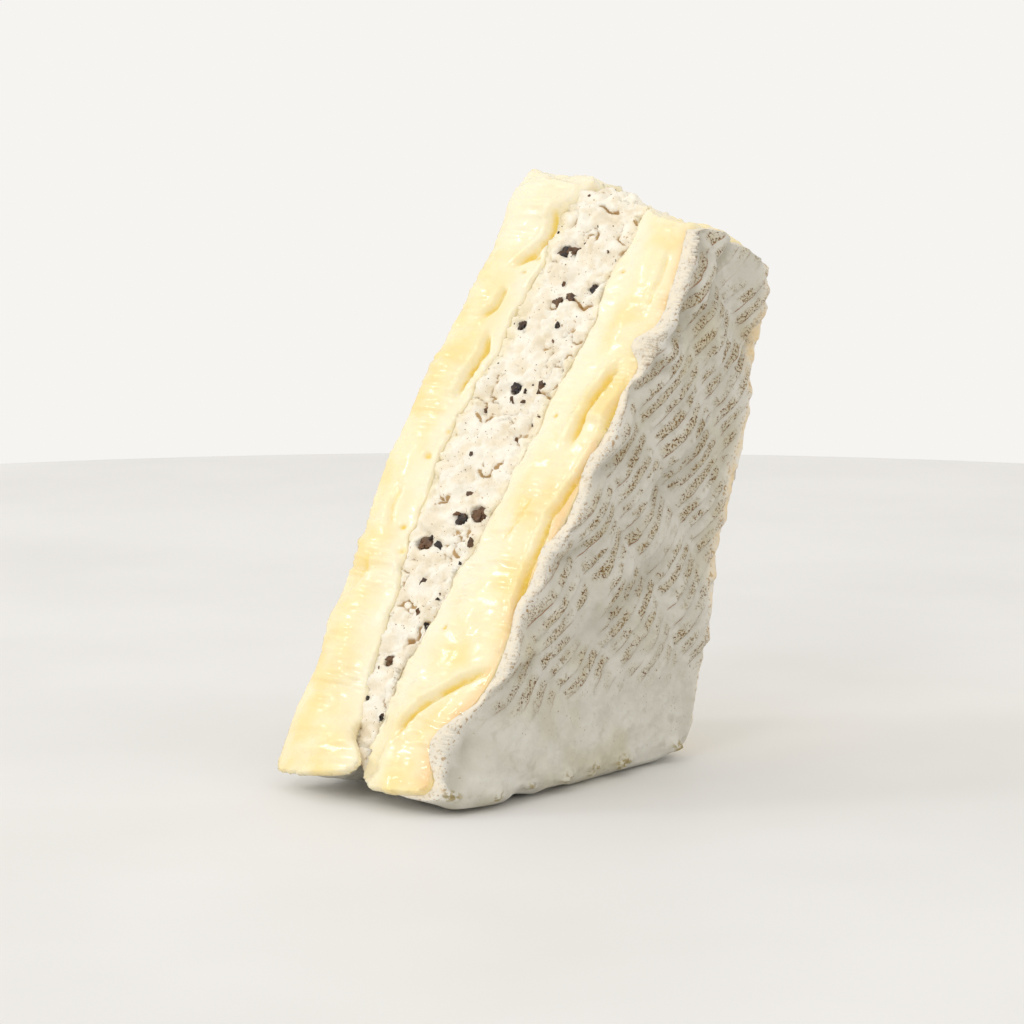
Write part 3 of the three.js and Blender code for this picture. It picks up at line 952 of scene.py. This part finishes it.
def crumb_places(skin, chance):
    """Middles, sizes and brownness of every crumb, set in the filling's moved surface."""
    moved = skin.at + skin.move
    near = np.flatnonzero(skin.near > FULLY)
    places = []
    for layer, up, size, brown in NEAR_CRUMBS:
        off = np.linalg.norm(skin.on_cut[near] - cut_point(layer, up), axis=1)
        places.append((near[np.argmin(off)], CRUMB_SHARE * size, brown))
    counts = (CRUMB_SPRINKLE, CRUMB_SPRINKLE, NOSE_CRUMBS)
    smallest, largest = CRUMB_SIZES
    for facing, count in zip((skin.near, skin.far, skin.top), counts):
        open_points = np.flatnonzero(facing > FULLY)
        for i in chance.choice(open_points, count, replace=False):
            size = smallest + (largest - smallest) * chance.random() ** 3
            places.append((i, size, chance.random()))
    sunk = CRUMB_DEPTH * skin.out
    return [(moved[i] - size * sunk[i], size, brown) for i, size, brown in places]


def truffle_crumbs(skin, material):
    """All the small crumbs, as one piece."""
    chance = np.random.default_rng(SEED + 1)
    corners, faces, browns = [], [], []
    seeds = range(90, 90 + CRUMB_SHAPES)
    pebbles = [lump_mesh("pebble", np.zeros(3), np.ones(3), seed, 2) for seed in seeds]
    shapes = [points_of(pebble) for pebble in pebbles]
    sides = np.array([list(face.vertices) for face in pebbles[0].polygons])
    for centre, size, brown in crumb_places(skin, chance):
        stretch = chance.uniform(*CRUMB_STRETCH, 3)
        shape = shapes[chance.integers(len(shapes))] * stretch * size
        faces.append(sides + sum(len(c) for c in corners))
        corners.append(shape + centre)
        browns.append(np.full(len(shape), brown))
    mesh = bpy.data.meshes.new("truffle_crumbs")
    mesh.from_pydata(np.concatenate(corners) * MM, [], np.concatenate(faces))
    paint_brown(mesh, np.concatenate(browns))
    piece = placed("truffle_crumbs", mesh)
    hand_over(piece, material, "truffle")


# --- Materials ---


def node_in(tree, kind, inputs=None, **settings):
    made = tree.nodes.new("ShaderNode" + kind)
    for key, value in settings.items():
        setattr(made, key, value)
    for socket, value in (inputs or {}).items():
        if isinstance(value, bpy.types.NodeSocket):
            tree.links.new(value, made.inputs[socket])
        else:
            made.inputs[socket].default_value = value
    return made


def linear(hex_colour):
    """A hex colour as Blender's linear numbers."""
    parts = [int(hex_colour[i : i + 2], 16) / 255 for i in (0, 2, 4)]
    return [*(((c + 0.055) / 1.055) ** 2.4 if c > 0.04 else c / 12.92 for c in parts), 1.0]


class Look:
    """A material's node tree, with short ways to add to it."""

    def __init__(self, name):
        self.material = bpy.data.materials.new(name)
        self.material.use_nodes = True
        self.tree = self.material.node_tree
        self.shader = self.tree.nodes["Principled BSDF"]
        self.place = node_in(self.tree, "TexCoord").outputs["Object"]

    def spots(self, size, detail=2.0, stretch=EVEN):
        """Noise from 0 to 1 with features of the given size."""
        scaled = node_in(self.tree, "Mapping", {"Vector": self.place, "Scale": stretch})
        inputs = {"Vector": scaled.outputs[0], "Scale": 1 / (size * MM), "Detail": detail}
        return node_in(self.tree, "TexNoise", inputs).outputs["Fac"]

    def painted(self, name):
        return node_in(self.tree, "Attribute", attribute_name=name).outputs["Fac"]

    def span(self, value, low, high, to_low=0.0, to_high=1.0):
        inputs = {0: value, 1: low, 2: high, 3: to_low, 4: to_high}
        return node_in(self.tree, "MapRange", inputs, interpolation_type="SMOOTHSTEP").outputs[0]

    def varied(self, size, detail, *limits):
        """Noise spread between two limits, and perhaps to two others."""
        return self.span(self.spots(size, detail), *limits)

    def maths(self, operation, a, b=0.0):
        return node_in(self.tree, "Math", {0: a, 1: b}, operation=operation).outputs[0]

    def times(self, first, *others):
        for other in others:
            first = self.maths("MULTIPLY", first, other)
        return first

    def blend(self, tone, colour, amount):
        """A tone, or a hex colour, turned towards a hex colour by an amount."""
        start = linear(tone) if isinstance(tone, str) else tone
        inputs = {0: amount, 6: start, 7: linear(colour)}
        return node_in(self.tree, "Mix", inputs, data_type="RGBA").outputs[2]

    def patches(self, tone, rows):
        """Blends patches in. Each row has a colour, a size, a detail, the noise where a patch
        starts and is full, and its strength. A stretch may follow."""
        for colour, size, detail, low, high, strength, *stretch in rows:
            amount = self.span(self.spots(size, detail, *stretch), low, high, 0, strength)
            tone = self.blend(tone, colour, amount)
        return tone

    def bump(self, height, distance, strength=1.0, below=None):
        inputs = {"Height": height, "Distance": distance * MM, "Strength": strength}
        if below is not None:
            inputs["Normal"] = below
        return node_in(self.tree, "Bump", inputs).outputs[0]

    def bumps(self, rows):
        """Bumps on bumps. Each row has a size, detail, height, strength and maybe a stretch."""
        normal = None
        for size, detail, height, strength, *stretch in rows:
            normal = self.bump(self.spots(size, detail, *stretch), height, strength, normal)
        return normal

    def set(self, **inputs):
        for name, value in inputs.items():
            socket = self.shader.inputs[name.replace("_", " ")]
            if isinstance(value, bpy.types.NodeSocket):
                self.tree.links.new(value, socket)
            else:
                socket.default_value = value


# Each material's colours, and the rows for its patches and bumps
PASTE_CREAM, PASTE_BUTTER, PASTE_GOLD = "FAECC2", "F7E09C", "F3D03A"
PASTE_AMBER, PASTE_PALE = "F2C88C", "FAF2DA"
PASTE_PATCHES = [(PASTE_BUTTER, 7, 2, 0.35, 0.7, 1), (PASTE_BUTTER, 1.6, 3, 0.6, 0.75, 0.35)]
PASTE_BUMPS = [(1.1, 3, 0.17, 0.7, (0.5, 1, 1)), (0.3, 2, 0.02, 0.5)]


def paste_look():
    look = Look("soft_paste")
    tone = look.patches(PASTE_CREAM, PASTE_PATCHES)
    tone = look.blend(tone, PASTE_PALE, look.times(look.painted("pale"), 0.7))
    tone = look.blend(tone, PASTE_AMBER, look.times(look.painted("under_rind"), 0.75))
    # Deep yellow in the grooves, pits and far creases is painted shade.
    groove_shade = look.times(look.painted("groove_shade"), look.varied(2.5, 2, 0.2, 0.6, 0.5, 1))
    tone = look.blend(tone, PASTE_GOLD, look.span(groove_shade, 0.2, 0.95, 0, 0.9))
    gloss = look.varied(4, 3, 0.35, 0.65, 0.2, 0.4)
    look.set(Base_Color=tone, Roughness=gloss, Normal=look.bumps(PASTE_BUMPS))
    look.set(Subsurface_Weight=0.2, Subsurface_Radius=(1.0, 0.75, 0.4), Subsurface_Scale=1.0 * MM)
    look.set(Coat_Weight=0.5, Coat_Roughness=0.07)
    return look.material


FILLING_WHITE, FILLING_PASTE, CRACK_SHADE_BROWN = "FBF5E6", "F8EBC4", "B08436"
FILLING_PATCHES = [
    ("F1E5CC", 3, 3, 0.4, 0.68, 1),
    ("DCD3C0", 5, 2, 0.58, 0.72, 0.25),
    ("B08A58", 0.55, 1, 0.7, 0.74, 0.7),
    ("6A5038", 0.42, 1, 0.77, 0.79, 0.9, (1.1, 1, 1.2)),
]
FILLING_BUMPS = [(0.8, 4, 0.3, 0.8), (0.2, 2, 0.05, 0.6)]


def filling_look():
    look = Look("crumbly_filling")
    tone = look.patches(FILLING_WHITE, FILLING_PATCHES)
    tone = look.blend(tone, FILLING_PASTE, look.times(look.painted("smeared"), 0.6))
    # Brown painted into the splits and crevices is painted shade.
    crack_shade = look.times(look.painted("crack_shade"), look.varied(1.3, 2, 0.3, 0.5))
    tone = look.blend(tone, CRACK_SHADE_BROWN, look.span(crack_shade, 0.15, 0.6, 0, 0.85))
    normal = look.bumps(FILLING_BUMPS)
    look.set(Base_Color=tone, Roughness=look.varied(1.5, 2, 0.3, 0.7, 0.45, 0.8), Normal=normal)
    look.set(Subsurface_Weight=0.08, Subsurface_Radius=(1.0, 0.9, 0.7), Subsurface_Scale=0.6 * MM)
    return look.material


RIND_WHITE, RIND_SHADE, BAND_TINT, BAND_OLIVE = "D6D3C8", "ACA797", "BBAB85", "8E754A"
DOT_BROWN, LINE_BROWN, EDGE_RUST, CRUST_OLIVE = "6C4A2C", "966338", "A98A60", "96844E"
EDGE_BLOOM, SECTION_CREAM, FAR_EDGE_PASTE = "EFEBE2", "F1E6D0", "EDD4A6"
RIND_PATCHES = [
    ("CBC7BA", 6, 3, 0.35, 0.65, 1),
    ("C6BD9C", 11, 2, 0.5, 0.75, 0.5),
    ("B9B4A4", 2.2, 3, 0.55, 0.75, 0.5),
]
RIND_BUMPS = [(0.9, 4, 0.24, 0.9), (0.18, 2, 0.04, 0.6)]
BAND_STARTS, BAND_ENDS = (0.2, 0.5), (1.0, 0.92)  # the speckled share of each mark
LINE_STARTS, LINE_ENDS = (0.84, 0.9), (0.99, 0.95)  # the brown line at the mark's drop


def mat_marks(look, tone):
    """Speckled bands and brown lines. Returns the tone and the speckles."""
    turn, marked = look.maths("FRACT", look.painted("reed_phase")), look.painted("reed_set")
    band = look.times(look.span(turn, *BAND_STARTS), look.span(turn, *BAND_ENDS), marked)
    band = look.times(band, look.varied(3.6, 3, 0.36, 0.56))
    tone = look.blend(tone, BAND_TINT, look.times(band, 0.5))
    speckled = look.times(band, look.varied(0.38, 1, 0.55, 0.61))
    tone = look.blend(tone, BAND_OLIVE, speckled)
    dots = look.span(look.spots(0.3, 1, (1.1, 0.9, 1)), 0.6, 0.64)
    tone = look.blend(tone, DOT_BROWN, look.times(look.span(band, 0.05, 0.5), dots))
    line = look.times(look.span(turn, *LINE_STARTS), look.span(turn, *LINE_ENDS), marked)
    tone = look.blend(tone, LINE_BROWN, look.times(line, look.varied(4.5, 3, 0.44, 0.53, 0, 0.9)))
    stray = look.span(look.spots(0.4, 1, (1, 1.1, 0.9)), 0.7, 0.74)
    tone = look.blend(tone, BAND_OLIVE, look.times(stray, look.varied(5, 3, 0.5, 0.65)))
    return tone, speckled


def rind_look():
    look = Look("white_mould_rind")
    tone = look.patches(RIND_WHITE, RIND_PATCHES)
    # Darker grey painted into the fold grooves is painted shade.
    tone = look.blend(tone, RIND_SHADE, look.times(look.painted("fold_shade"), 0.55))
    tone, speckled = mat_marks(look, tone)
    edge = look.painted("edge")
    tone = look.blend(tone, EDGE_BLOOM, look.times(edge, 0.85))
    rust = look.times(look.span(edge, 0.2, 0.45), look.span(edge, 0.85, 0.6))
    tone = look.blend(tone, EDGE_RUST, look.times(rust, look.varied(0.5, 3, 0.55, 0.63)))
    bared = look.times(look.painted("far_edge"), look.varied(2, 3, 0.3, 0.6))
    tone = look.blend(tone, FAR_EDGE_PASTE, bared)
    section = look.times(look.painted("section"), look.varied(1.6, 3, 0.35, 0.6, 0.45, 0.95))
    tone = look.blend(tone, SECTION_CREAM, section)
    crust = look.times(look.painted("crust"), look.varied(0.9, 3, 0.35, 0.6))
    tone = look.blend(tone, CRUST_OLIVE, look.span(crust, 0.15, 0.8, 0, 0.85))
    pocks = look.bump(look.maths("SUBTRACT", 1.0, speckled), 0.1, 0.7, look.bumps(RIND_BUMPS))
    look.set(Base_Color=tone, Roughness=0.92, Normal=pocks)
    look.set(Sheen_Weight=0.12, Sheen_Roughness=0.5, Specular_IOR_Level=0.25)
    return look.material


TRUFFLE_BLACK, TRUFFLE_BROWN = "221B18", "6A4A2C"
TRUFFLE_PATCHES = [("9A7850", 0.5, 4, 0.62, 0.7, 0.6)]
TRUFFLE_BUMPS = [(0.35, 4, 0.12, 0.9)]


def truffle_look():
    look = Look("chopped_truffle")
    shade = look.maths("ADD", look.varied(1.2, 3, 0.4, 0.65, -0.2, 0.3), look.painted("brown"))
    tone = look.blend(TRUFFLE_BLACK, TRUFFLE_BROWN, look.span(shade, 0.1, 1.1))
    tone = look.patches(tone, TRUFFLE_PATCHES)
    normal = look.bumps(TRUFFLE_BUMPS)
    look.set(Base_Color=tone, Roughness=look.varied(0.8, 2, 0.4, 0.6, 0.4, 0.65), Normal=normal)
    return look.material


# --- The pieces ---


def cheese():
    paste, rind = paste_look(), rind_look()
    for side, name in ((-1, "left"), (1, "right")):
        skin = Skin(f"paste_{name}", f"soft_paste_{name}", PASTE_VOXEL)
        shape_paste(skin, side)
        skin.finish(paste, "paste")
        skin = Skin(f"rind_{name}", f"mould_rind_{name}", RIND_VOXEL)
        shape_rind(skin, side)
        skin.finish(rind, "rind")
    skin = Skin("truffle_filling", "crumbly_filling", FILLING_VOXEL)
    shape_filling(skin)
    skin.finish(filling_look(), "filling")
    truffle = truffle_look()
    truffle_pieces(truffle)
    truffle_crumbs(skin, truffle)


# --- Camera, floor and light ---

CAMERA_AZIMUTH = math.radians(40)
CAMERA_ELEVATION = math.radians(8)
CAMERA_DISTANCE = 0.513
CAMERA_LENS = 112.5
AIM_FROM_MIDDLE = (-0.0011, -0.001, -0.0065)  # the wedge stands a little above the centre
SENSOR_WIDTH = 36.0
FLOOR_RADIUS = 0.42
FLOOR_EDGES = 96
FLOOR_GREY, FLOOR_PATCHES = "E3E2DF", [("E9E8E6", 90, 3, 0.3, 0.7, 1)]
WORLD_WHITE, WORLD_STRENGTH = "F6F4F1", 1.0

# Lamps: name, azimuth, elevation, distance in metres, size in metres, watts
LAMPS = [
    ("window", 10, 40, 1.2, 0.42, 1.7),
    ("side_window", -50, 36, 1.2, 0.25, 1.5),
    ("glint", -20, 20, 1.0, 0.08, 0.3),
]


def towards(azimuth, elevation):
    """The direction from the wedge at an azimuth and elevation, as the camera counts them."""
    flat = math.cos(elevation)
    return np.array([math.sin(azimuth) * flat, -math.cos(azimuth) * flat, math.sin(elevation)])


def middle():
    return (np.array(cad_box[0]) + np.array(cad_box[1])) / 2


def look_at(thing, place, target):
    thing.location = place
    away = np.asarray(place) - target
    thing.rotation_mode = "QUATERNION"
    thing.rotation_quaternion = Vector(-away).to_track_quat("-Z", "Y")


def make_camera():
    data = bpy.data.cameras.new("camera")
    data.lens = CAMERA_LENS
    data.sensor_width = SENSOR_WIDTH
    camera = placed("camera", data)
    target = middle() + AIM_FROM_MIDDLE
    look_at(camera, target + CAMERA_DISTANCE * towards(CAMERA_AZIMUTH, CAMERA_ELEVATION), target)
    bpy.context.scene.camera = camera


def make_floor():
    angles = np.linspace(0, 2 * math.pi, FLOOR_EDGES, endpoint=False)
    rim = [(FLOOR_RADIUS * math.cos(a), FLOOR_RADIUS * math.sin(a), 0) for a in angles]
    mesh = bpy.data.meshes.new("table")
    mesh.from_pydata(rim, [], [list(range(FLOOR_EDGES))])
    floor = placed("table", mesh)
    look = Look("pale_table")
    tone = look.patches(FLOOR_GREY, FLOOR_PATCHES)
    look.set(Base_Color=tone, Roughness=0.55, Specular_IOR_Level=0.3)
    mesh.materials.append(look.material)


def area_light(name, azimuth, elevation, distance, size, watts):
    data = bpy.data.lights.new(name, "AREA")
    data.shape = "DISK"
    data.size = size
    data.energy = watts
    lamp = placed(name, data)
    place = middle() + distance * towards(math.radians(azimuth), math.radians(elevation))
    look_at(lamp, place, middle())


def make_light():
    world = bpy.data.worlds.new("pale_room")
    world.use_nodes = True
    background = world.node_tree.nodes["Background"]
    background.inputs["Color"].default_value = linear(WORLD_WHITE)
    background.inputs["Strength"].default_value = WORLD_STRENGTH
    bpy.context.scene.world = world
    for lamp in LAMPS:
        area_light(*lamp)
    bpy.context.scene.view_settings.view_transform = "Standard"


make_camera()
make_floor()
make_light()
cheese()
